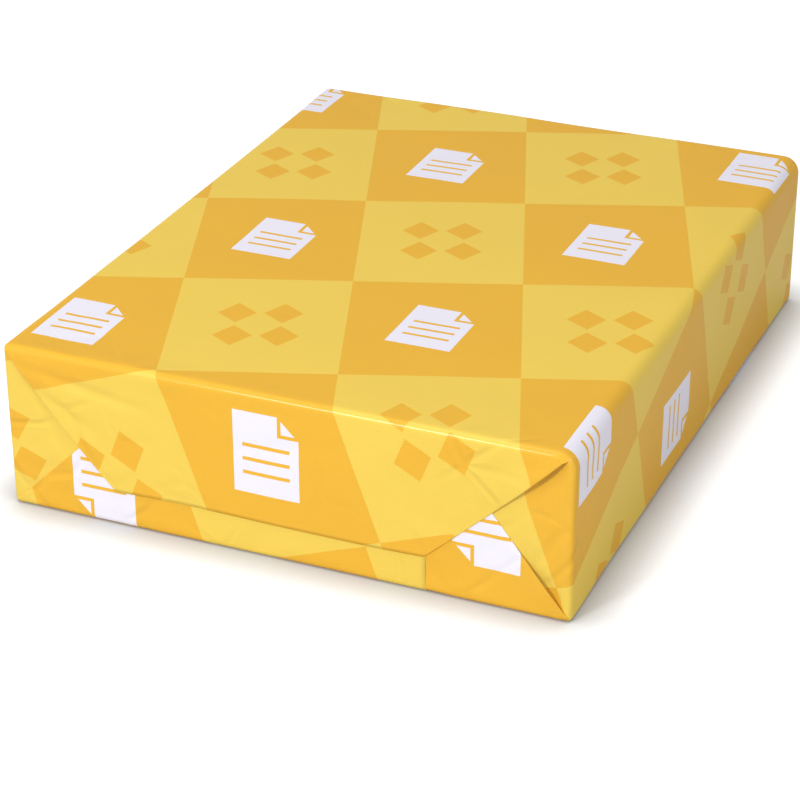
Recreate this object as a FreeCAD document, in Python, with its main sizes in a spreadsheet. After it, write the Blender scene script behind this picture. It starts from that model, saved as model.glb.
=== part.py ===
# Ream of letter-size paper, sealed in one sheet of wrapping paper.
# The wrapper goes round the stack with a lap seam underneath. At each end its sides are tucked in,
# the bottom flap is folded up over them and the top flap is folded down last, over everything.
# Frame: X across the pack, Y along it, Z up. The origin is the centre of the face it lies on.

import FreeCAD, Part
import Sketcher
import os

NODE = "wrapped_ream"

# Driving dimensions in millimetres, and the number of sheets.
DIMENSIONS = {
    "sheet_width": 215.9,
    "sheet_length": 279.4,
    "sheet_count": 500,
    "sheet_caliper": 0.128,
    "wrap_paper": 0.12,
    "wrap_slack": 0.45,
    "top_edge_radius": 5.0,
    "base_edge_radius": 3.5,
    "end_edge_radius": 2.0,
    "flap_length": 51.0,
    "fold_step": 0.5,
    "crease_radius": 0.3,
    "lap_inset": 53.5,
    "lap_step": 0.25,
    "lap_fade": 14.0,
}

# Expressions that the features share.
WRAP_GAP = "(dims.wrap_paper + dims.wrap_slack)"
HALF_WIDTH = f"(dims.sheet_width / 2 + {WRAP_GAP})"
HEIGHT = f"(dims.sheet_count * dims.sheet_caliper + 2 * {WRAP_GAP})"

# The tucks lie against the stack, the bottom flap one step further out and the top flap two steps.
TUCK_END = f"(dims.sheet_length / 2 + {WRAP_GAP})"
BASE_END = f"({TUCK_END} + dims.fold_step)"
TOP_END = f"({TUCK_END} + 2 * dims.fold_step)"

# Each layer rolls over its edge with one step more radius. The long edges limit these rolls.
ROLL_LIMIT = "(0.95 * min(dims.base_edge_radius; dims.top_edge_radius) - 2 * dims.fold_step)"
TUCK_ROLL = f"min(dims.end_edge_radius; {ROLL_LIMIT})"
BASE_ROLL = f"({TUCK_ROLL} + dims.fold_step)"
TOP_ROLL = f"({TUCK_ROLL} + 2 * dims.fold_step)"
CREASE = "min(dims.crease_radius; 0.8 * dims.fold_step)"

# A square corner of a paper tube folds flat at 45 degrees, so its crease leaves the rounded long
# edge halfway round, this share of the edge's radius in from both faces.
HALFWAY = "(1 - cos(45 deg))"

LAP_PLACE = f"({HALF_WIDTH} - dims.lap_inset)"
FLAT = 1e-6


def make_sheet(doc):
    """The spreadsheet that holds the driving dimensions."""
    sheet = doc.addObject("Spreadsheet::Sheet", "dims")
    for row, (name, value) in enumerate(DIMENSIONS.items(), start=1):
        sheet.set(f"A{row}", name)
        sheet.set(f"B{row}", str(value))
        sheet.setAlias(f"B{row}", name)
    doc.recompute()
    return sheet


def size(doc, expression):
    """What an expression comes to now, as a plain number."""
    return float(doc.dims.evalExpression(expression))


def new_body(doc, label):
    """A body of its own for one layer of the wrapper."""
    body = doc.addObject("PartDesign::Body", label)
    body.Label = label
    return body


def new_sketch(body, name, role, offset="0"):
    """A sketch at an offset from one of the body's own origin planes."""
    plane = next(item for item in body.Origin.OriginFeatures if item.Role == role)
    sketch = body.newObject("Sketcher::SketchObject", name)
    sketch.AttachmentSupport = [(plane, "")]
    sketch.MapMode = "FlatFace"
    sketch.setExpression(".AttachmentOffset.Base.z", offset)
    return sketch


def pin(sketch, side, end, place):
    """Ties one end of a side to its place, given as two expressions."""
    for kind, expression in zip(("DistanceX", "DistanceY"), place):
        value = size(sketch.Document, expression)
        index = sketch.addConstraint(Sketcher.Constraint(kind, -1, 1, side, end, value))
        sketch.setExpression(f"Constraints[{index}]", expression)


def side_between(start, end, is_round):
    """A straight side, or an arc that stands out to the right of the way from start to end."""
    if not is_round:
        return Part.LineSegment(start, end)
    bulge = 0.2
    chord = end - start
    middle = (start + end) / 2 + FreeCAD.Vector(chord.y, -chord.x, 0) * bulge
    return Part.Arc(start, middle, end)


def draw(sketch, places, arcs=None, closed=True):
    """Sides in a chain through places, which are pairs of expressions in anticlockwise order.
    arcs gives, for each round side, the straight neighbour that it runs into smoothly."""
    arcs = arcs or {}
    points = [FreeCAD.Vector(size(sketch.Document, x), size(sketch.Document, y), 0) for x, y in places]
    if closed:
        points.append(points[0])
    sides = range(len(points) - 1)
    for side in sides:
        sketch.addGeometry(side_between(points[side], points[side + 1], side in arcs))
        pin(sketch, side, 1, places[side])
    for side in sides[1:]:
        sketch.addConstraint(Sketcher.Constraint("Coincident", side - 1, 2, side, 1))
    if closed:
        sketch.addConstraint(Sketcher.Constraint("Coincident", sides[-1], 2, 0, 1))
    else:
        pin(sketch, sides[-1], 2, places[-1])
    for side, neighbour in arcs.items():
        sketch.addConstraint(Sketcher.Constraint("Tangent", side, neighbour))
    return sketch


def pad(body, sketch, name, half_length):
    """A pad by the same amount to both sides of the sketch's plane."""
    feature = body.newObject("PartDesign::Pad", name)
    feature.Profile = sketch
    feature.Midplane = True
    feature.setExpression("Length", f"2 * {half_length}")
    body.Document.recompute()
    return feature


def fillet(body, base, name, radius, chosen):
    """Rounds the edges of the base feature for which chosen says yes."""
    numbered = enumerate(base.Shape.Edges, start=1)
    feature = body.newObject("PartDesign::Fillet", name)
    feature.Base = (base, [f"Edge{number}" for number, edge in numbered if chosen(edge)])
    feature.setExpression("Radius", radius)
    body.Document.recompute()
    return feature


def on_end(edge):
    """Whether an edge lies in the plane of an end."""
    return edge.BoundBox.YLength < FLAT


def is_level(edge):
    return edge.BoundBox.ZLength < FLAT


def upright_on_end(edge):
    return on_end(edge) and edge.BoundBox.XLength < FLAT


def is_slanted_on_end(edge):
    straight = edge.Curve.TypeId == "Part::GeomLine"
    return on_end(edge) and straight and not is_level(edge)


def turned(places, edge, way):
    """Places given as the distance across and the depth in from an edge. way is 1 for the bottom
    edge, and -1 for the top edge, where the outline is turned half round."""
    return [(f"{way} * ({across})", f"{edge} + {way} * ({depth})") for across, depth in places]


def make_tucks(doc):
    """The sleeve round the stack with the sides of both ends tucked in flat. Its section is the
    part of the sleeve that shows between the creases of the panels folded over it."""
    body = new_body(doc, "tucked_sleeve")
    places = []
    for way, edge, radius in ((1, "0", "dims.base_edge_radius"), (-1, HEIGHT, "dims.top_edge_radius")):
        corner = f"{radius} * {HALFWAY}"
        panel = [
            (f"-{HALF_WIDTH}", radius),
            (f"{corner} - {HALF_WIDTH}", corner),
            (f"{radius} - {HALF_WIDTH}", radius),
            (f"{HALF_WIDTH} - {radius}", radius),
            (f"{HALF_WIDTH} - {corner}", corner),
            (HALF_WIDTH, radius),
        ]
        places += turned(panel, edge, way)
    section = draw(new_sketch(body, "sleeve_section", "XZ_Plane"), places, arcs={0: 11, 4: 5, 6: 5, 10: 11})
    fillet(body, pad(body, section, "sleeve", TUCK_END), "tuck_rolls", TUCK_ROLL, upright_on_end)
    return body


def flap_places(edge, way, radius):
    """The outline of a flap. It is full width at the edge that it is folded over, has a folded
    corner at each side and ends in its straight free edge. way is 1 for up and -1 for down."""
    corner = f"{radius} * {HALFWAY}"
    flap = [
        (f"{radius} - {HALF_WIDTH}", "0"),
        (f"{HALF_WIDTH} - {radius}", "0"),
        (f"{HALF_WIDTH} - {corner}", corner),
        (f"{HALF_WIDTH} - dims.flap_length", "dims.flap_length"),
        (f"dims.flap_length - {HALF_WIDTH}", "dims.flap_length"),
        (f"{corner} - {HALF_WIDTH}", corner),
    ]
    return turned(flap, edge, way)


def make_flaps(doc, label, places, end, roll):
    """A flap at each end, with the panel that joins them, rolled over its edge of the pack."""
    body = new_body(doc, label)
    outline = draw(new_sketch(body, f"{label}_outline", "XZ_Plane"), places, arcs={1: 0, 5: 0})
    panel = pad(body, outline, f"{label}_panel", end)
    edge_height = size(doc, places[0][1])

    def on_rolled_edge(edge):
        return on_end(edge) and is_level(edge) and abs(edge.BoundBox.ZMin - edge_height) < FLAT

    rolled = fillet(body, panel, f"{label}_roll", roll, on_rolled_edge)
    fillet(body, rolled, f"{label}_creases", CREASE, is_slanted_on_end)
    return body


def cut_lap(body):
    """The lap seam, along the underside and up both bottom flaps. Beside the free edge of the outer
    layer the wrapper is one paper thinner, and that fades out."""
    start = "(dims.flap_length + dims.fold_step)"
    path_places = [
        (f"-{BASE_END}", start),
        (f"-{BASE_END}", BASE_ROLL),
        (f"{BASE_ROLL} - {BASE_END}", "0"),
        (f"{BASE_END} - {BASE_ROLL}", "0"),
        (BASE_END, BASE_ROLL),
        (BASE_END, start),
    ]
    path = new_sketch(body, "lap_path", "YZ_Plane", LAP_PLACE)
    draw(path, path_places, arcs={1: 0, 3: 2}, closed=False)
    wedge_places = [
        (LAP_PLACE, f"-{BASE_END} - dims.lap_step"),
        (f"{LAP_PLACE} + 2 * dims.lap_fade", f"-{BASE_END} - dims.lap_step"),
        (LAP_PLACE, f"dims.lap_step - {BASE_END}"),
    ]
    wedge = draw(new_sketch(body, "lap_wedge", "XY_Plane", start), wedge_places)
    sweep = body.newObject("PartDesign::SubtractivePipe", "lap_seam")
    sweep.Profile = wedge
    sweep.Spine = (path, [])
    body.Document.recompute()


def make_ream(doc):
    """The whole pack, as one solid."""
    tucks = make_tucks(doc)
    base_places = flap_places("0", 1, "dims.base_edge_radius")
    base_flaps = make_flaps(doc, "bottom_flaps", base_places, BASE_END, BASE_ROLL)
    cut_lap(base_flaps)
    top_places = flap_places(HEIGHT, -1, "dims.top_edge_radius")
    top_flaps = make_flaps(doc, "top_flaps", top_places, TOP_END, TOP_ROLL)
    ream = doc.addObject("Part::MultiFuse", NODE)
    ream.Label = NODE
    ream.Shapes = [tucks, base_flaps, top_flaps]
    ream.Refine = True
    doc.recompute()
    return ream


def check(doc, part):
    """Stops if a feature failed or the part isn't one sound solid."""
    failed = [item.Name for item in doc.Objects if {"Invalid", "Error"} & set(item.State)]
    if failed:
        raise RuntimeError(f"features failed: {failed}")
    shape = part.Shape
    if shape.isNull() or not shape.isValid() or len(shape.Solids) != 1:
        raise RuntimeError(f"{part.Label} isn't one valid solid")


doc = FreeCAD.newDocument("ream_of_paper")
make_sheet(doc)
ream = make_ream(doc)
check(doc, ream)
os.makedirs("parts", exist_ok=True)
ream.Shape.exportStep(f"parts/{NODE}.step")
box = ream.Shape.optimalBoundingBox()
print(f"{NODE}: {box.XLength:.2f} x {box.YLength:.2f} x {box.ZLength:.2f} mm, {ream.Shape.Volume:.0f} mm3")
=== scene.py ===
import math

import bmesh
import bpy
import numpy as np
from mathutils import Matrix, Vector


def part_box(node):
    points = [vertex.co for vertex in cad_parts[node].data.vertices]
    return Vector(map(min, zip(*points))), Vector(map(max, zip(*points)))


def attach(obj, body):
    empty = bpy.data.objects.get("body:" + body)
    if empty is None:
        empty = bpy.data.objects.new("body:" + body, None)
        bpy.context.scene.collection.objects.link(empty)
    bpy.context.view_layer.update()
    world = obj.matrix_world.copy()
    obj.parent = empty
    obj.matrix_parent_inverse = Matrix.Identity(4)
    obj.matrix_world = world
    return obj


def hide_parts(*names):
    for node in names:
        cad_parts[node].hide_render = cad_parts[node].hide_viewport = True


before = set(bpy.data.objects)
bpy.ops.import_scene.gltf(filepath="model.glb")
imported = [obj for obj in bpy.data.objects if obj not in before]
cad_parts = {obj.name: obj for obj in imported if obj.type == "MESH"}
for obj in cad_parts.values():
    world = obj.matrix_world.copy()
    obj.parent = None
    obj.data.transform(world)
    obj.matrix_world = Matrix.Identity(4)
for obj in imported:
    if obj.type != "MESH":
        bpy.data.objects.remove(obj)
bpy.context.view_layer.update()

MM = 0.001

# The pack's outside, from the frame. It reaches as far out at both sides and both ends.
LOW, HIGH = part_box("wrapped_ream")
HALF_WIDTH = HIGH.x
TOP_END = HIGH.y
HEIGHT = HIGH.z

# The wrapping paper. Its layers at the ends lie one fold step apart, and the top flap can lift a bit.
PAPER = 0.16 * MM
FOLD_STEP = 0.4 * MM
FLAP_LIFT = 0.7 * MM
TOP_FLAP_Y = TOP_END - FLAP_LIFT
BASE_FLAP_Y = TOP_FLAP_Y - FOLD_STEP
TUCK_Y = BASE_FLAP_Y - FOLD_STEP
ROLL_START_Y = TUCK_Y - 2.0 * MM
FLAP_LENGTH = 51 * MM
TUCK_LENGTH = 50 * MM
HEM_RADIUS = 0.2 * MM
GUSSET_COLUMNS = 5

# Bends of the long edges, along the pack and at its ends, where the folds pull most of them tight.
# A fold at the ends leaves a bend halfway round.
LONG_BENDS = {"top_left": 4.0 * MM, "top_right": 5.0 * MM, "base_left": 3.0 * MM, "base_right": 3.0 * MM}
END_BENDS = {"top_left": 3.0 * MM, "top_right": 7.0 * MM, "base_left": 2.0 * MM, "base_right": 2.0 * MM}
BEND_CHANGE = 34 * MM
HALFWAY = 1 - math.cos(math.pi / 4)

# The folded sides of the flaps. Each has its distance from the pack's side where the flap starts and
# at the flap's free edge, and how far it bows outwards between them.
FOLDS = {
    "top_left": (0.0 * MM, 43.6 * MM, 1.8 * MM),
    "top_right": (1.1 * MM, 54.5 * MM, 1.0 * MM),
    "base_left": (0.3 * MM, 52.5 * MM, 0.0 * MM),
    "base_right": (0.0 * MM, 41.0 * MM, 0.0 * MM),
}

# The lap seam underneath. The outer layer ends at LAP_X, over the inner one.
LAP_X = HALF_WIDTH - 53.5 * MM
LAP_UNDER_X = LAP_X - 15 * MM
LAP_STEP = 0.28 * MM
LAP_FADE = 14 * MM

# Where a fold stands open, the flap lifts and the tuck behind it sinks. Each such place has its
# distance from the pack's corner, its reach along the fold and its width across it.
FLAP_LIFT_PLACE = 14 * MM
FLAP_LIFT_REACH = 11 * MM
FLAP_LIFT_WIDTH = 9 * MM
LEFT_LIFT_SHARE = 0.45
TOP_HOLLOW_LEFT = 0.6 * MM
TOP_HOLLOW_RIGHT = 2.4 * MM
TOP_HOLLOW_PLACE = 11 * MM
TOP_HOLLOW_REACH = 8 * MM
TOP_HOLLOW_WIDTH = 3.2 * MM
BASE_LIFT = 0.5 * MM
BASE_LIFT_WIDTH = 8 * MM
BASE_HOLLOW = 1.4 * MM
BASE_HOLLOW_WIDTH = 3 * MM
BASE_OPEN_PLACE = 12 * MM
BASE_OPEN_REACH = 9 * MM

# Distances over which a flap's lift and the unevenness of a face come in, past a roll or an edge.
LIFT_START = 6 * MM
ROLL_FADE = 4 * MM
EDGE_FADE = 9 * MM
END_MARGIN = 2 * MM
END_FADE = 8 * MM

# A flap's free edge isn't quite straight. A tuck gets narrower inwards, by up to this much a side.
EDGE_WANDER = 0.35 * MM
EDGE_WANDER_LENGTH = 31 * MM
TUCK_HIDDEN = 3 * MM
TUCK_SLANT = 0.5

# Mesh fineness.
GRID = 2.5 * MM
SLEEVE_GRID = 4.0 * MM
END_GRID = 1.6 * MM
ARC_SIDES = 8
ROLL_SIDES = 8
HEM_SIDES = 6


def smooth(t):
    """0 to 1 with no corner at either end."""
    t = np.clip(t, 0.0, 1.0)
    return t * t * (3 - 2 * t)


def spread(start, end, spacing=GRID):
    """Evenly spaced numbers from start to end, both included."""
    return np.linspace(start, end, max(2, round(abs(end - start) / spacing) + 1))


# The section of the sleeve.

def section_kinds():
    """The section's columns in order, from the outer layer's edge under the pack, left, over the
    top and down the right, to the inner layer's edge. Each is a stretch's name and a share of it."""
    quarter = np.linspace(0, 1, ARC_SIDES + 1)
    stretches = [
        ("base", spread(0, 1, GRID / (LAP_X + HALF_WIDTH))),
        ("base_left", quarter),
        ("left", spread(0, 1, GRID / HEIGHT)),
        ("top_left", quarter),
        ("top", spread(0, 1, GRID / (2 * HALF_WIDTH))),
        ("top_right", quarter),
        ("right", spread(0, 1, GRID / HEIGHT)),
        ("base_right", quarter),
        ("lap", spread(0, 1, GRID / (HALF_WIDTH - LAP_UNDER_X))),
    ]
    columns = []
    for name, shares in stretches:
        # Neighbouring stretches share a column.
        columns += [(name, share) for share in (shares if not columns else shares[1:])]
    return columns


def bends_at(y):
    """The radius of each long edge at a place along the pack."""
    tight = smooth(1 - (ROLL_START_Y - abs(y)) / BEND_CHANGE)
    return {edge: LONG_BENDS[edge] + tight * (END_BENDS[edge] - LONG_BENDS[edge]) for edge in LONG_BENDS}


def bend_place(edge, share, radius):
    """Place and outward direction on a long edge's bend, a share of the way round it."""
    turn = share * math.pi / 2
    side = 1 if edge.endswith("right") else -1
    upwards = 1 if edge.startswith("top") else -1
    # The columns run up the left side and down the right one.
    from_level = edge in ("base_left", "top_right")
    aside = math.sin(turn) if from_level else math.cos(turn)
    level = math.cos(turn) if from_level else math.sin(turn)
    x = side * (HALF_WIDTH - radius * (1 - aside))
    gap = radius * (1 - level)
    return x, HEIGHT - gap if upwards > 0 else gap, side * aside, upwards * level


def section(columns, bends):
    """Places, outward directions and unrolled distances of the columns. The distance is 0 at the
    middle of the top and grows to the right."""
    places, outward, unrolled = [], [], []
    quarter = math.pi / 2
    straight, to_side, to_base = {}, {}, {}
    for side in ("left", "right"):
        top, base = bends["top_" + side], bends["base_" + side]
        straight[side] = HEIGHT - top - base
        to_side[side] = HALF_WIDTH - top + top * quarter
        to_base[side] = to_side[side] + straight[side] + base * quarter
    bend_starts = {
        "base_left": -to_base["left"],
        "top_left": -to_side["left"],
        "top_right": HALF_WIDTH - bends["top_right"],
        "base_right": to_base["right"] - bends["base_right"] * quarter,
    }
    for name, share in columns:
        if name in bends:
            arc = bends[name] * share * quarter
            row = (*bend_place(name, share, bends[name]), bend_starts[name] + arc)
        elif name == "base":
            x = LAP_X - share * (LAP_X + HALF_WIDTH - bends["base_left"])
            row = (x, 0, 0, -1, -to_base["left"] - (x + HALF_WIDTH - bends["base_left"]))
        elif name == "left":
            up = share * straight["left"]
            row = (-HALF_WIDTH, bends["base_left"] + up, -1, 0, up - straight["left"] - to_side["left"])
        elif name == "top":
            start, end = bends["top_left"] - HALF_WIDTH, HALF_WIDTH - bends["top_right"]
            x = start + share * (end - start)
            row = (x, HEIGHT, 0, 1, x)
        elif name == "right":
            down = share * straight["right"]
            row = (HALF_WIDTH, HEIGHT - bends["top_right"] - down, 1, 0, to_side["right"] + down)
        else:
            start = HALF_WIDTH - bends["base_right"]
            x = start - share * (start - LAP_UNDER_X)
            row = (x, lap_rise(x), 0, -1, to_base["right"] + start - x)
        places.append(row[:2])
        outward.append(row[2:4])
        unrolled.append(row[4])
    return np.array(places), np.array(outward), np.array(unrolled)


def lap_rise(x):
    """How far the inner layer stands back under the outer one."""
    return LAP_STEP * (1 - smooth((x - LAP_X) / LAP_FADE))


# The unevenness of the paper. All of it goes inwards, so the pack stays its size.
SLEEVE_WAVES = 0.30 * MM
EDGE_WAVES = 0.32 * MM
END_WAVES = 0.35 * MM
WAVE_COUNT = 7
WAVE_LENGTHS = (45 * MM, 130 * MM)
WAVE_SOFTNESS = 2.2
SLEEVE_SEED = 3
EDGE_SEED = 5
FRONT_SEED = 11
BACK_SEED = 23


def waves(a, b, seed):
    """Soft irregular waves from 0 to 1 over two coordinates in metres."""
    draw = np.random.default_rng(seed)
    total = np.zeros(np.broadcast(a, b).shape)
    for _ in range(WAVE_COUNT):
        angle = draw.uniform(0, math.pi)
        length = draw.uniform(*WAVE_LENGTHS)
        phase = draw.uniform(0, 2 * math.pi)
        across = a * math.cos(angle) + b * math.sin(angle)
        total = total + np.sin(across * 2 * math.pi / length + phase)
    return 0.5 + 0.5 * np.tanh(total / WAVE_SOFTNESS)


def crease(a, b, start, end, width, depth):
    """A soft crease from start to end, in millimetres, that fades out at both."""
    start, end = np.array(start) * MM, np.array(end) * MM
    along = end - start
    length = np.linalg.norm(along)
    along /= length
    t = (a - start[0]) * along[0] + (b - start[1]) * along[1]
    off = (a - start[0]) * -along[1] + (b - start[1]) * along[0]
    share = np.clip(t / length, 0, 1)
    fade = np.sin(share * math.pi) ** 0.7 * ((t > 0) & (t < length))
    return depth * MM * fade * np.exp(-(off / (width * MM)) ** 2)


# Creases in the sleeve: start, end, width and depth in millimetres, in unrolled places.
SLEEVE_CREASES = [
    ((-100, -134), (-62, -112), 2.2, 0.20),
    ((-104, -128), (-84, -92), 2.6, 0.16),
    ((100, -134), (70, -108), 2.4, 0.18),
    ((112, -132), (138, -100), 2.6, 0.26),
    ((116, -120), (158, -66), 3.0, 0.22),
    ((112, -20), (150, -58), 2.8, 0.18),
    ((112, 60), (160, 96), 2.8, 0.20),
    ((104, 134), (70, 112), 2.4, 0.16),
    ((-102, 134), (-66, 108), 2.4, 0.18),
    ((-112, -130), (-146, -98), 2.6, 0.24),
    ((-114, 128), (-150, 92), 2.6, 0.22),
    ((-118, 20), (-156, -24), 3.0, 0.18),
]


def sleeve_dent(u, v):
    """How far the sleeve lies inwards at an unrolled place."""
    depth = SLEEVE_WAVES * waves(u, v, SLEEVE_SEED)
    for start, end, width, deep in SLEEVE_CREASES:
        depth = depth + crease(u, v, start, end, width, deep)
    inner = smooth((ROLL_START_Y - np.abs(v)) / EDGE_FADE)
    return depth * inner + edge_dent(u) * (1 - inner)


def edge_dent(u):
    """How far the folded edge at an end lies inwards, at an unrolled place across the pack."""
    return EDGE_WAVES * waves(u, 0 * u, EDGE_SEED)


# Creases in an end: start, end, width and depth in millimetres, across and up.
END_CREASES = [
    ((-105, 58), (-50, 49), 1.8, 0.85),
    ((-100, 54), (-84, 22), 1.8, 0.65),
    ((-96, 50), (-70, 34), 2.0, 0.55),
    ((-30, 40), (34, 52), 2.6, 0.20),
    ((60, 55), (84, 38), 2.2, 0.20),
    ((-104, 14), (-80, 20), 2.2, 0.40),
    ((-52, 18), (-30, 15), 2.2, 0.30),
]


def end_dent(x, z, seed):
    """How far all the layers of an end lie inwards together."""
    depth = END_WAVES * waves(x, z, seed)
    for start, end, width, deep in END_CREASES:
        depth = depth + crease(x, z, start, end, width, deep)
    inset = np.minimum(np.minimum(z, HEIGHT - z), HALF_WIDTH - np.abs(x))
    return depth * smooth((inset - END_MARGIN) / END_FADE)


# Patches of the sheet. Each is a grid of points in space with a grid of places on the flat paper.

def sleeve_patch(columns):
    """The sleeve between the rolls at the two ends."""
    points, flat = [], []
    for y in sleeve_rows():
        places, outward, unrolled = section(columns, bends_at(y))
        dent = np.where(lies_under(columns), 0, sleeve_dent(unrolled, np.full(len(columns), y)))
        across = places - outward * dent[:, None]
        points.append(np.stack([across[:, 0], np.full(len(columns), y), across[:, 1]], axis=1))
        flat.append(np.stack([unrolled, np.full(len(columns), y)], axis=1))
    return np.array(points), np.array(flat)


def sleeve_rows():
    """Places along the pack, closer together near the ends."""
    start, change = ROLL_START_Y, ROLL_START_Y - BEND_CHANGE
    near = spread(change, start)
    return np.concatenate([-near[::-1], spread(-change, change, SLEEVE_GRID)[1:-1], near])


def lies_under(columns):
    """The columns of the underside, which stays flat because the pack lies on it."""
    return np.array([name in ("base", "lap") for name, _ in columns])


def roll_rows(radius, length):
    """The angle round the roll and the share of the way down the face, for each row of a strip."""
    turns = np.linspace(0, math.pi / 2, ROLL_SIDES + 1)
    rows = [(turn, 0.0) for turn in turns]
    return rows + [(math.pi / 2, share) for share in spread(0, 1, END_GRID / length)[1:]]


def fold_line(edge):
    """A function that gives the place across of a flap's folded side, for each distance down it."""
    start, end, bow = FOLDS[edge]
    side = 1 if edge.endswith("right") else -1

    def place(drop):
        share = drop / FLAP_LENGTH
        inward = start + (end - start) * share - bow * np.sin(math.pi * np.clip(share, 0, 1))
        return side * (HALF_WIDTH - np.maximum(inward, END_BENDS[edge] * HALFWAY))
    return place


def strip(places, outward, unrolled, layer_y, going_up, sides, slope, lift, seed):
    """A flap that rolls over the top or bottom edge and tapers. places are the columns of the
    sleeve's end that it starts from. sides are the functions of its left and right sides. slope gives
    the unrolled distance along the face for each x."""
    radius = layer_y - ROLL_START_Y
    x_loop = places[:, 0]
    across = (x_loop - x_loop.min()) / np.ptp(x_loop)
    drop_loop = places[:, 1] if going_up else HEIGHT - places[:, 1]
    upright = np.abs(outward[:, 1])
    dented = 0 if going_up else edge_dent(unrolled)
    left, right = sides
    started, rise = slope
    points, flat = [], []
    for turn, share in roll_rows(radius, FLAP_LENGTH):
        drop_rolled = drop_loop + radius * (1 - math.cos(turn)) * upright
        edge = FLAP_LENGTH + EDGE_WANDER * np.sin(x_loop / EDGE_WANDER_LENGTH)
        drop = drop_rolled + share * (edge - drop_rolled)
        tapered = left(drop) + across * (right(drop) - left(drop))
        x = x_loop + smooth(turn / (math.pi / 2)) * (tapered - x_loop)
        z = drop if going_up else HEIGHT - drop
        dent = end_dent(x, z, seed) * smooth((drop - radius) / ROLL_FADE)
        dent = dent + dented * (1 - smooth((drop - radius) / EDGE_FADE))
        lifted = lift(x, z) * smooth(drop / LIFT_START) * math.sin(turn)
        y = ROLL_START_Y + radius * math.sin(turn) - dent * math.sin(turn) + lifted
        points.append(np.stack([x, -y, z], axis=1))
        u = unrolled + smooth(turn / (math.pi / 2)) * (started + rise * x - unrolled)
        v = ROLL_START_Y + radius * turn + (drop - drop_rolled)
        flat.append(np.stack([u, -v], axis=1))
    return np.array(points), np.array(flat)


def tuck(places, unrolled, seed):
    """A side of the wrapper tucked in flat against the end of the stack."""
    radius = TUCK_Y - ROLL_START_Y
    side = math.copysign(1, places[0, 0])
    in_loop = HALF_WIDTH - np.abs(places[:, 0])
    low, high = places[:, 1].min(), places[:, 1].max()
    is_upper = places[:, 1] > (low + high) / 2
    corner = np.where(is_upper, in_loop[is_upper].max(), in_loop[~is_upper].max())
    facing = np.clip(1 - in_loop / corner * HALFWAY, 0.5, 1)
    points, flat = [], []
    for turn, share in roll_rows(radius, TUCK_LENGTH):
        rolled = in_loop + radius * (1 - math.cos(turn)) * facing
        inward = rolled + share * (TUCK_LENGTH - rolled)
        # Its top and bottom hide under the flaps, a little in from the edges of the pack.
        hidden = np.clip(TUCK_SLANT * (inward - corner), 0, TUCK_HIDDEN)
        lowest = np.where(is_upper, 0, low + hidden)
        highest = np.where(is_upper, high - hidden, HEIGHT)
        z = np.clip(places[:, 1], lowest, highest)
        x = side * (HALF_WIDTH - inward)
        dent = (end_dent(x, z, seed) + hollow(side, inward, z)) * smooth((inward - radius) / ROLL_FADE)
        y = ROLL_START_Y + radius * math.sin(turn) - dent
        points.append(np.stack([x, -y, z], axis=1))
        v = ROLL_START_Y + radius * turn + (inward - rolled)
        flat.append(np.stack([unrolled, -v], axis=1))
    return np.array(points), np.array(flat)


def hollow(side, inward, z):
    """How far a tuck sinks beside the folds that stand open: the top flap's, and on the right the
    bottom flap's too."""
    depth = TOP_HOLLOW_RIGHT if side > 0 else TOP_HOLLOW_LEFT
    drop = HEIGHT - z
    across = (inward - drop) / math.sqrt(2)
    along = (inward + drop) / 2 - TOP_HOLLOW_PLACE
    total = depth * np.exp(-((across / TOP_HOLLOW_WIDTH) ** 2) - (along / TOP_HOLLOW_REACH) ** 2)
    if side > 0:
        total = total + BASE_HOLLOW * beside_base_fold(inward, z, BASE_HOLLOW_WIDTH)
    return total


def beside_base_fold(inward, z, width):
    """1 on the bottom flap's right fold where it stands open, and less further from there."""
    lean = FOLDS["base_right"][1] / FLAP_LENGTH
    across = (inward - lean * z) / math.hypot(1, lean)
    return np.exp(-((across / width) ** 2) - ((z - BASE_OPEN_PLACE) / BASE_OPEN_REACH) ** 2)


def hem(points, flat, side, radius, going_up, paper_out):
    """The folded corner of a flap: a tight turn along one of its sides, and the gusset behind it.
    side is 0 for the flap's first column and -1 for its last. paper_out is +1 or -1, the way that
    the paper runs on past that side. Gives two patches."""
    if side:
        points, flat = points[:, ::-1], flat[:, ::-1]
    edge, edge_flat = points[:, 0], flat[:, 0]
    along = np.gradient(edge, axis=0)
    along /= np.linalg.norm(along, axis=1, keepdims=True)
    across = edge - points[:, 1]
    across -= along * np.sum(across * along, axis=1, keepdims=True)
    across /= np.linalg.norm(across, axis=1, keepdims=True)
    turns = [turn for turn, _ in roll_rows(radius, FLAP_LENGTH)]
    upwards = 1 if going_up else -1
    behind = np.array([(0, math.sin(turn), upwards * math.cos(turn)) for turn in turns])
    growth = smooth(np.arange(len(edge)) / ROLL_SIDES)[:, None]
    reach = HEM_RADIUS * growth
    onwards = np.array([paper_out, 0])
    rows, flats = [], []
    for turn in np.linspace(0, math.pi, HEM_SIDES + 1):
        rows.append(edge + reach * (across * math.sin(turn) + behind * (1 - math.cos(turn))))
        flats.append(edge_flat + onwards * HEM_RADIUS * turn)
    fold = np.array(rows).transpose(1, 0, 2), np.array(flats).transpose(1, 0, 2)
    # The gusset follows the flap's own columns, and starts below the roll.
    start = ROLL_SIDES
    backs, back_flats = [], []
    for column in range(GUSSET_COLUMNS):
        backs.append((points[:, column] + behind * 2 * reach)[start:])
        width = np.linalg.norm(points[:, column] - edge, axis=1)[:, None]
        back_flats.append((edge_flat + onwards * width)[start:])
    gusset = np.array(backs).transpose(1, 0, 2), np.array(back_flats).transpose(1, 0, 2)
    return fold, gusset


# Joining the patches into one sheet.

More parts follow.
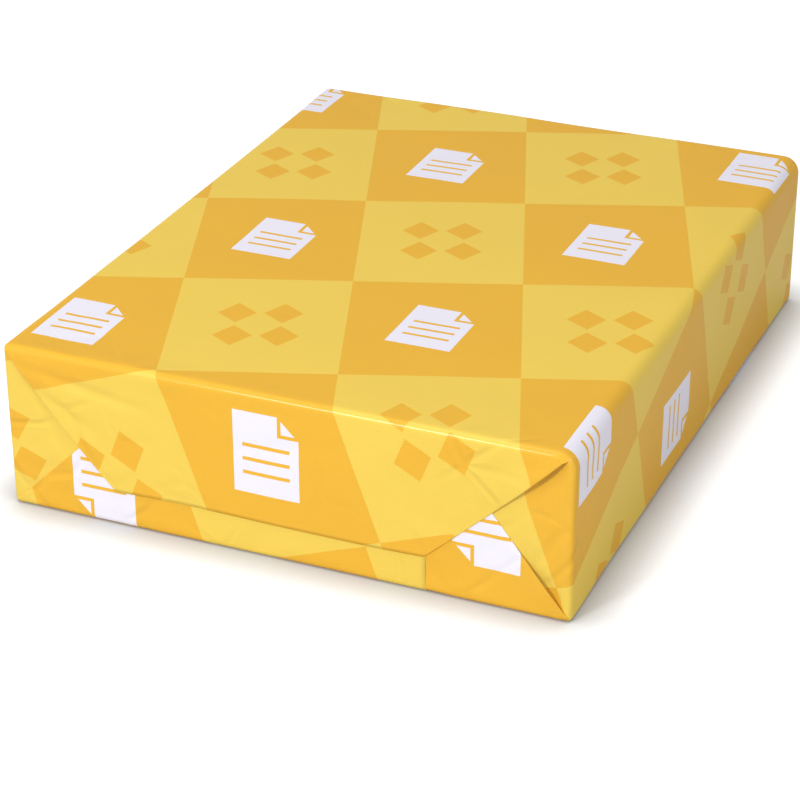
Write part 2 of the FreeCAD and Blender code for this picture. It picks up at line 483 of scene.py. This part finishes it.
def add_patch(sheet, points, flat, flipped):
    """Adds a grid's faces to the sheet's lists."""
    rows, cols = points.shape[:2]
    start = len(sheet["points"])
    sheet["points"] += [tuple(p) for p in points.reshape(-1, 3)]
    sheet["flat"] += [tuple(p) for p in flat.reshape(-1, 2)]
    for r in range(rows - 1):
        for c in range(cols - 1):
            corner = start + r * cols + c
            face = (corner, corner + 1, corner + cols + 1, corner + cols)
            sheet["faces"].append(face[::-1] if flipped else face)


def at_end(sheet, points, flat, front, flipped=False):
    """Adds a patch made for the front end, or its mirror image at the back end."""
    if front:
        add_patch(sheet, points, flat, not flipped)
    else:
        add_patch(sheet, points * (1, -1, 1), flat * (1, -1), flipped)


def make_mesh(sheet, name):
    """A mesh of the sheet, with the flat paper's places as its UV map."""
    mesh = bpy.data.meshes.new(name)
    mesh.from_pydata(sheet["points"], [], sheet["faces"])
    layer = mesh.uv_layers.new(name="flat_paper")
    for loop in mesh.loops:
        layer.data[loop.index].uv = sheet["flat"][loop.vertex_index]
    return mesh


def straight_side(x):
    """A flap's side that the lap seam cuts straight."""
    return lambda drop: x + 0 * drop


def no_lift(x, z):
    """A flap that lies close all over."""
    return 0 * x


def flap_lift(x, z):
    """The top flap stands off a little beside its folded corners."""
    drop = HEIGHT - z
    from_fold = (HALF_WIDTH - np.abs(x)) - drop
    along = np.exp(-((drop - FLAP_LIFT_PLACE) / FLAP_LIFT_REACH) ** 2)
    share = np.where(x > 0, 1.0, LEFT_LIFT_SHARE)
    return FLAP_LIFT * share * along * np.exp(-((from_fold / FLAP_LIFT_WIDTH) ** 2))


def build_sheet():
    """The whole wrapper as lists of points, flat places and faces."""
    sheet = {"points": [], "flat": [], "faces": []}
    columns = section_kinds()
    names = [name for name, _ in columns]
    # The middle of each bend, where the paper parts into a flap and a tuck.
    corner = {}
    for number, (name, share) in enumerate(columns):
        if name in END_BENDS and math.isclose(share, 0.5):
            corner[name] = number
    add_patch(sheet, *sleeve_patch(columns), False)
    places, outward, unrolled = section(columns, END_BENDS)
    places = places - outward * np.where(lies_under(columns), 0, edge_dent(unrolled))[:, None]
    # On the underside, distances on the flat paper and across the pack add up to these.
    left_sum = unrolled[names.index("base_left")] + places[names.index("base_left"), 0]
    right_sum = unrolled[names.index("lap")] + places[names.index("lap"), 0]
    top_roll = TOP_FLAP_Y - ROLL_START_Y
    base_roll = BASE_FLAP_Y - ROLL_START_Y
    for front in (True, False):
        seed = FRONT_SEED if front else BACK_SEED
        top = slice(corner["top_left"], corner["top_right"] + 1)
        points, flat = strip(
            places[top], outward[top], unrolled[top], TOP_FLAP_Y, False,
            (fold_line("top_left"), fold_line("top_right")), (0, 1), flap_lift, seed)
        at_end(sheet, points, flat, front)
        for side, way in ((0, -1), (-1, 1)):
            for patch in hem(points, flat, side, top_roll, False, way):
                at_end(sheet, *patch, front, flipped=way < 0)
        outer = slice(0, corner["base_left"] + 1)
        points, flat = strip(
            places[outer], outward[outer], unrolled[outer], BASE_FLAP_Y, True,
            (fold_line("base_left"), straight_side(LAP_X)), (left_sum, -1), no_lift, seed)
        at_end(sheet, points, flat, front)
        for patch in hem(points, flat, -1, base_roll, True, 1):
            at_end(sheet, *patch, front)
        inner = slice(corner["base_right"], len(columns))
        points, flat = strip(
            places[inner], outward[inner], unrolled[inner], BASE_FLAP_Y, True,
            (straight_side(LAP_UNDER_X), fold_line("base_right")), (right_sum, -1), inner_lift, seed)
        at_end(sheet, points, flat, front)
        for patch in hem(points, flat, 0, base_roll, True, -1):
            at_end(sheet, *patch, front, flipped=True)
        right = slice(corner["top_right"], corner["base_right"] + 1)
        at_end(sheet, *tuck(places[right], unrolled[right], seed), front)
        left = slice(corner["base_left"], corner["top_left"] + 1)
        at_end(sheet, *tuck(places[left], unrolled[left], seed), front)
    return sheet


def inner_lift(x, z):
    """The bottom flap's inner layer stands back under the outer one, and off a bit beside its fold."""
    return BASE_LIFT * beside_base_fold(HALF_WIDTH - x, z, BASE_LIFT_WIDTH) - lap_rise(x)


def make_wrapper():
    """The folded sheet, welded and given its thickness."""
    mesh = make_mesh(build_sheet(), "wrapper")
    bm = bmesh.new()
    bm.from_mesh(mesh)
    weld = 0.002 * MM
    bmesh.ops.remove_doubles(bm, verts=bm.verts, dist=weld)
    bmesh.ops.dissolve_degenerate(bm, edges=bm.edges, dist=weld)
    bm.to_mesh(mesh)
    bm.free()
    wrapper = bpy.data.objects.new("wrapper", mesh)
    bpy.context.scene.collection.objects.link(wrapper)
    thickness = wrapper.modifiers.new("paper", "SOLIDIFY")
    thickness.thickness = PAPER
    thickness.offset = -1
    thickness.material_offset = 1
    thickness.material_offset_rim = 1
    mesh.polygons.foreach_set("use_smooth", [True] * len(mesh.polygons))
    mesh.materials.append(printed_paper())
    mesh.materials.append(bare_paper())
    mesh.update()
    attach(wrapper, "root")
    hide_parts("wrapped_ream")
    return wrapper


# Materials.

class Nodes:
    """Short calls for building a node tree."""

    def __init__(self, tree):
        self.tree = tree

    def add(self, kind, inputs=(), **settings):
        """A new node with its settings and its inputs, each a value or another node's output."""
        node = self.tree.nodes.new(kind)
        for name, value in settings.items():
            setattr(node, name, value)
        for key, value in dict(inputs).items():
            self.put(node.inputs[key], value)
        return node

    def put(self, socket, value):
        """Links an output to the socket, or sets a plain value there."""
        if isinstance(value, bpy.types.NodeSocket):
            self.tree.links.new(value, socket)
        else:
            socket.default_value = value

    def math(self, operation, *values):
        """The output of one sum."""
        node = self.add("ShaderNodeMath", operation=operation)
        for number, value in enumerate(values):
            self.put(node.inputs[number], value)
        return node.outputs[0]

    def ramp(self, value, before, after, kind="LINEAR"):
        """A value moved from one range to another, and held at its ends."""
        node = self.add("ShaderNodeMapRange", {
            "Value": value, "From Min": before[0], "From Max": before[1],
            "To Min": after[0], "To Max": after[1]}, interpolation_type=kind)
        return node.outputs[0]

    def mix(self, factor, first, second):
        """The first colour where factor is 0, and the second where it is 1."""
        node = self.add("ShaderNodeMix", data_type="RGBA")
        self.put(node.inputs["Factor"], factor)
        self.put(node.inputs["A"], first)
        self.put(node.inputs["B"], second)
        return node.outputs["Result"]


def srgb(red, green, blue):
    """A colour written as 0 to 255, as the linear values that nodes take."""
    def linear(value):
        value /= 255
        return value / 12.92 if value <= 0.04045 else ((value + 0.055) / 1.055) ** 2.4
    return (linear(red), linear(green), linear(blue), 1.0)


# The printed check, on the flat paper. A node of the check lies at CHECK_START, and its rows run at
# CHECK_TURN degrees to the width of the pack.
CHECK_START = (-126.1 * MM, 78.7 * MM)
CHECK_TURN = 19.96
CHECK_WIDE = 63.55 * MM
CHECK_DEEP = 76.75 * MM

# A page with a folded corner is printed in each gold check, square to the pack, and four lozenges
# in each yellow one.
PAGE_HALF = (12.5 * MM, 16 * MM)
PAGE_EAR = 8 * MM
PAGE_LINE = 1.4 * MM
PAGE_RULES = 5.4 * MM
PAGE_RULE_ROWS = (1.0, 4.0)
PAGE_RULE_REACH = 0.72
LOZENGE_APART = (8.5 * MM, 9.5 * MM)
LOZENGE_HALF = (7.2 * MM, 8.2 * MM)

GOLD = srgb(235, 181, 58)
YELLOW = srgb(239, 205, 88)
WHITE = srgb(238, 235, 247)

# The paper's fine ribs, its grain, and the creases from handling. The creases come in along and
# across the pack between the two distances given for each, and keep a share in the middle of an end.
LAID_SPACING = 1.15 * MM
GRAIN_DEPTH = 0.04 * MM
CREASE_DEPTH = 0.4 * MM
CREASE_WOBBLE = 7 * MM
CREASED_ALONG = (122 * MM, 142 * MM)
CREASED_ACROSS = (30 * MM, 80 * MM)
MIDDLE_CREASES = 0.3


def new_material(name):
    """A material with an empty node tree."""
    material = bpy.data.materials.new(name)
    material.use_nodes = True
    material.node_tree.nodes.clear()
    return material, Nodes(material.node_tree)


def printed_ink(n, flat):
    """The colour of the print at a place on the flat paper."""
    across, down = check_places(n, flat)
    column, row = n.math("FLOOR", across), n.math("FLOOR", down)
    is_gold = n.math("FLOORED_MODULO", n.math("ADD", column, row), 2.0)
    x = n.math("MULTIPLY", n.math("SUBTRACT", n.math("FRACT", across), 0.5), CHECK_WIDE)
    y = n.math("MULTIPLY", n.math("SUBTRACT", 0.5, n.math("FRACT", down)), CHECK_DEEP)
    gold_check = n.mix(page_mark(n, x, y), GOLD, WHITE)
    yellow_check = n.mix(lozenge_mark(n, x, y), YELLOW, GOLD)
    return n.mix(is_gold, yellow_check, gold_check)


def printed_paper():
    """Smooth coated paper printed in two tones of yellow and in white."""
    material, n = new_material("printed_wrapper")
    flat = n.add("ShaderNodeUVMap", uv_map="flat_paper").outputs["UV"]
    mottle = n.add("ShaderNodeTexNoise", {"Vector": flat, "Scale": 900.0, "Detail": 4.0, "Roughness": 0.6})
    cloud = n.add("ShaderNodeTexNoise", {"Vector": flat, "Scale": 28.0, "Detail": 3.0})
    laid = laid_lines(n, flat)
    whole = (0.0, 1.0)
    fine_tone = n.ramp(mottle.outputs["Fac"], whole, (0.965, 1.025))
    broad_tone = n.ramp(cloud.outputs["Fac"], whole, (0.975, 1.02))
    laid_tone = n.ramp(laid, whole, (0.975, 1.0))
    shade = n.math("MULTIPLY", n.math("MULTIPLY", fine_tone, broad_tone), laid_tone)
    toned = n.add("ShaderNodeHueSaturation", {"Color": printed_ink(n, flat), "Value": shade})
    roughness = n.ramp(cloud.outputs["Fac"], whole, (0.20, 0.30))
    height = n.math("ADD", n.math("MULTIPLY", mottle.outputs["Fac"], 0.5), n.math("MULTIPLY", laid, 0.35))
    creased = n.add("ShaderNodeBump", {
        "Height": handling_creases(n, flat), "Strength": 0.9, "Distance": CREASE_DEPTH})
    bump = n.add("ShaderNodeBump", {
        "Height": height, "Strength": 0.25, "Distance": GRAIN_DEPTH, "Normal": creased.outputs[0]})
    shader = n.add("ShaderNodeBsdfPrincipled", {
        "Base Color": toned.outputs[0], "Roughness": roughness, "Normal": bump.outputs[0],
        "Specular IOR Level": 0.005, "Coat Weight": 0.1, "Coat Roughness": 0.2, "Coat IOR": 2.1})
    n.add("ShaderNodeOutputMaterial", {"Surface": shader.outputs[0]})
    return material


def check_places(n, flat):
    """Numbers that count the checks across and down the print."""
    turn = math.radians(CHECK_TURN)
    cosine, sine = math.cos(turn), math.sin(turn)
    parts = n.add("ShaderNodeSeparateXYZ", {"Vector": flat})
    x = n.math("SUBTRACT", parts.outputs["X"], CHECK_START[0])
    y = n.math("SUBTRACT", parts.outputs["Y"], CHECK_START[1])
    right = n.math("ADD", n.math("MULTIPLY", x, cosine), n.math("MULTIPLY", y, sine))
    down = n.math("SUBTRACT", n.math("MULTIPLY", x, sine), n.math("MULTIPLY", y, cosine))
    return n.math("DIVIDE", right, CHECK_WIDE), n.math("DIVIDE", down, CHECK_DEEP)


def inside(n, *gaps):
    """1 where every gap is above zero."""
    smallest = gaps[0]
    for gap in gaps[1:]:
        smallest = n.math("MINIMUM", smallest, gap)
    return n.math("GREATER_THAN", smallest, 0.0)


def page_mark(n, check_x, check_y):
    """A page with its top right corner turned down and three ruled lines, given places measured
    from the middle of the check."""
    turn = math.radians(CHECK_TURN)
    cosine, sine = math.cos(turn), math.sin(turn)
    x = n.math("SUBTRACT", n.math("MULTIPLY", check_x, cosine), n.math("MULTIPLY", check_y, sine))
    y = n.math("ADD", n.math("MULTIPLY", check_x, sine), n.math("MULTIPLY", check_y, cosine))
    half_wide, half_high = PAGE_HALF
    corner = half_wide + half_high - PAGE_EAR
    page = inside(
        n, n.math("SUBTRACT", half_wide, n.math("ABSOLUTE", x)),
        n.math("SUBTRACT", half_high, n.math("ABSOLUTE", y)), n.math("SUBTRACT", corner, n.math("ADD", x, y)))
    from_left = n.math("SUBTRACT", x, half_wide - PAGE_EAR)
    from_low = n.math("SUBTRACT", y, half_high - PAGE_EAR)
    ear_line = inside(
        n, from_left, from_low, n.math("SUBTRACT", PAGE_LINE, n.math("MINIMUM", from_left, from_low)))
    place = n.math("DIVIDE", n.math("ADD", y, half_high), PAGE_RULES)
    rule_half = PAGE_LINE / PAGE_RULES / 2
    off_rule = n.math("ABSOLUTE", n.math("SUBTRACT", n.math("FRACT", place), 0.5))
    first_row, end_row = PAGE_RULE_ROWS
    rules = inside(
        n, n.math("SUBTRACT", rule_half, off_rule), n.math("SUBTRACT", end_row, place),
        n.math("SUBTRACT", place, first_row),
        n.math("SUBTRACT", PAGE_RULE_REACH * half_wide, n.math("ABSOLUTE", x)))
    lines = n.math("MAXIMUM", ear_line, rules)
    return n.math("MULTIPLY", page, n.math("SUBTRACT", 1.0, lines))


def lozenge_mark(n, x, y):
    """Four lozenges round the middle of the check."""
    shares = []
    for place, apart, half in zip((x, y), LOZENGE_APART, LOZENGE_HALF):
        off = n.math("ABSOLUTE", n.math("SUBTRACT", n.math("ABSOLUTE", place), apart))
        shares.append(n.math("DIVIDE", off, half))
    return n.math("LESS_THAN", n.math("ADD", *shares), 1.0)


def handling_creases(n, flat):
    """A height from 0 to 1 that drops along thin creases in the folded ends, where the paper was
    bent by hand. The corners are creased more than the middle of an end."""
    wobble = n.add("ShaderNodeTexNoise", {"Vector": flat, "Scale": 45.0, "Detail": 2.0})
    moved = n.add(
        "ShaderNodeVectorMath", {0: wobble.outputs["Color"], 1: (CREASE_WOBBLE, CREASE_WOBBLE, 0.0)},
        operation="MULTIPLY")
    place = n.add("ShaderNodeVectorMath", {0: flat, 1: moved.outputs[0]}, operation="ADD")
    cells = n.add(
        "ShaderNodeTexVoronoi", {"Vector": place.outputs[0], "Scale": 30.0}, feature="DISTANCE_TO_EDGE")
    line = n.ramp(cells.outputs["Distance"], (0.0, 0.07), (1.0, 0.0), "SMOOTHSTEP")
    parts = n.add("ShaderNodeSeparateXYZ", {"Vector": flat})
    across, along = (n.math("ABSOLUTE", parts.outputs[axis]) for axis in ("X", "Y"))
    at_ends = n.ramp(along, CREASED_ALONG, (0.0, 1.0), "SMOOTHSTEP")
    at_corners = n.ramp(across, CREASED_ACROSS, (MIDDLE_CREASES, 1.0), "SMOOTHSTEP")
    patchy = n.ramp(wobble.outputs["Fac"], (0.4, 0.6), (0.0, 1.0))
    shown = n.math("MULTIPLY", n.math("MULTIPLY", at_ends, at_corners), patchy)
    return n.math("MULTIPLY", n.math("SUBTRACT", 1.0, line), shown)


def laid_lines(n, flat):
    """Fine ribs across the paper, from 0 to 1."""
    parts = n.add("ShaderNodeSeparateXYZ", {"Vector": flat})
    wobble = n.add("ShaderNodeTexNoise", {"Vector": flat, "Scale": 60.0, "Detail": 1.0})
    place = n.math("DIVIDE", parts.outputs["Y"], LAID_SPACING / (2 * math.pi))
    wave = n.math("SINE", n.math("ADD", place, n.math("MULTIPLY", wobble.outputs["Fac"], 2.0)))
    return n.math("ADD", n.math("MULTIPLY", wave, 0.5), 0.5)


def bare_paper():
    """The unprinted inside and the cut edges of the wrapper."""
    material, n = new_material("bare_wrapper")
    shader = n.add("ShaderNodeBsdfPrincipled", {"Base Color": srgb(236, 226, 200), "Roughness": 0.8})
    n.add("ShaderNodeOutputMaterial", {"Surface": shader.outputs[0]})
    return material


# The floor and the light round the pack. The floor shows white, apart from the pack's shadow, which the lamps
# partly cast. The rest is a painted shadow, where the floor's white glow dims near the pack.
FLOOR_REACH = 6.0
FLOOR_GREY = (0.5, 0.5, 0.5, 1.0)
FLOOR_GLOW = 0.72
# Painted shadow: over this reach, and raised to this power, ambient occlusion dims the floor's white glow
# near the pack.
PAINTED_SHADOW_REACH = 20 * MM
PAINTED_SHADOW_CONTRAST = 2.5
WHITE_LIGHT = (1, 1, 1, 1)
SOFT_STRENGTH = 0.50
SEEN_STRENGTH = 1.0


def shows_background(n):
    """1 for the rays that show the background: from the camera, and by way of gloss or glass."""
    path = n.add("ShaderNodeLightPath")
    straight = n.math("MAXIMUM", path.outputs["Is Camera Ray"], path.outputs["Is Transmission Ray"])
    return n.math("MAXIMUM", straight, path.outputs["Is Glossy Ray"])


def floor_paint():
    """Pale floor that shows white and keeps the cast shadow, with a painted shadow added: its white glow dims
    near the pack by ambient occlusion, darkest where the pack meets it.
    """
    material, n = new_material("floor")
    diffuse = n.add("ShaderNodeBsdfDiffuse", {"Color": FLOOR_GREY})
    # Painted shadow: the white glow that the camera and reflections see dims wherever ambient occlusion finds
    # the pack close by.
    painted_shadow_ao = n.add("ShaderNodeAmbientOcclusion", {"Distance": PAINTED_SHADOW_REACH}, samples=10)
    glow_with_painted_shadow = n.math("MULTIPLY", n.math("POWER", painted_shadow_ao.outputs["AO"], PAINTED_SHADOW_CONTRAST), FLOOR_GLOW)
    glow = n.add("ShaderNodeEmission", {"Color": WHITE_LIGHT, "Strength": glow_with_painted_shadow})
    both = n.add("ShaderNodeAddShader")
    n.put(both.inputs[0], diffuse.outputs[0])
    n.put(both.inputs[1], glow.outputs[0])
    shown = n.add("ShaderNodeMixShader", {"Fac": shows_background(n)})
    n.put(shown.inputs[1], diffuse.outputs[0])
    n.put(shown.inputs[2], both.outputs[0])
    n.add("ShaderNodeOutputMaterial", {"Surface": shown.outputs[0]})
    return material


# Surroundings.

def make_floor():
    """The plain surface that the pack lies on."""
    mesh = bpy.data.meshes.new("floor")
    corners = [(x * FLOOR_REACH, y * FLOOR_REACH, 0) for x, y in ((-1, -1), (1, -1), (1, 1), (-1, 1))]
    mesh.from_pydata(corners, [], [(0, 1, 2, 3)])
    mesh.materials.append(floor_paint())
    floor = bpy.data.objects.new("floor", mesh)
    bpy.context.scene.collection.objects.link(floor)


def make_world():
    """Soft even light, which shows as plain white."""
    world = bpy.data.worlds.new("studio")
    world.use_nodes = True
    n = Nodes(world.node_tree)
    world.node_tree.nodes.clear()
    seen = shows_background(n)
    soft = n.add("ShaderNodeBackground", {"Color": WHITE_LIGHT, "Strength": SOFT_STRENGTH})
    white = n.add("ShaderNodeBackground", {"Color": WHITE_LIGHT, "Strength": SEEN_STRENGTH})
    mixed = n.add("ShaderNodeMixShader", {"Fac": seen})
    n.put(mixed.inputs[1], soft.outputs[0])
    n.put(mixed.inputs[2], white.outputs[0])
    n.add("ShaderNodeOutputWorld", {"Surface": mixed.outputs[0]})
    bpy.context.scene.world = world


def make_lamp(name, direction, distance, size, power):
    """A soft square lamp that looks at the pack from the given direction."""
    light = bpy.data.lights.new(name, "AREA")
    light.shape = "SQUARE"
    light.size = size
    light.energy = power
    lamp = bpy.data.objects.new(name, light)
    away = Vector(direction).normalized()
    lamp.location = away * distance
    lamp.rotation_euler = away.to_track_quat("Z", "Y").to_euler()
    bpy.context.scene.collection.objects.link(lamp)


# The photograph's viewpoint: degrees round the pack, upwards and about the line of sight, and metres.
VIEW_ROUND = 23.026
VIEW_UP = 27.553
VIEW_ROLL = -0.185
VIEW_DISTANCE = 1.00775
# The picture's middle falls on this point, moved left and down in the picture.
LOOK_AT = (0, 0, 27 * MM)
LOOK_LEFT = 12.495 * MM
LOOK_DOWN = 26.992 * MM
# The focal length for each unit of the picture's width.
LENS_SHARE = 2564.4 / 800
SENSOR = 36.0


def make_camera():
    """The camera at the photograph's viewpoint."""
    azimuth, elevation, roll = (math.radians(angle) for angle in (VIEW_ROUND, VIEW_UP, VIEW_ROLL))
    level_share = math.cos(elevation)
    back = Vector((math.sin(azimuth) * level_share, -math.cos(azimuth) * level_share, math.sin(elevation)))
    level = Vector((math.cos(azimuth), math.sin(azimuth), 0))
    upright = back.cross(level)
    right = math.cos(roll) * level + math.sin(roll) * upright
    up = math.cos(roll) * upright - math.sin(roll) * level
    target = Vector(LOOK_AT) - LOOK_LEFT * right - LOOK_DOWN * up
    data = bpy.data.cameras.new("camera")
    data.lens = LENS_SHARE * SENSOR
    data.sensor_width = SENSOR
    camera = bpy.data.objects.new("camera", data)
    turned = Matrix((right, up, back)).transposed().to_4x4()
    camera.matrix_world = Matrix.Translation(target + back * VIEW_DISTANCE) @ turned
    bpy.context.scene.collection.objects.link(camera)
    bpy.context.scene.camera = camera


make_wrapper()
make_floor()
make_world()
make_lamp("key", direction=(-0.28, -0.84, 0.43), distance=1.5, size=0.25, power=9.8)
make_lamp("overhead", direction=(-0.15, -0.25, 1.0), distance=1.8, size=0.8, power=7.9)
make_lamp("side", direction=(0.85, -0.7, 0.3), distance=1.1, size=0.7, power=2.9)
make_camera()
bpy.context.scene.view_settings.view_transform = "Standard"
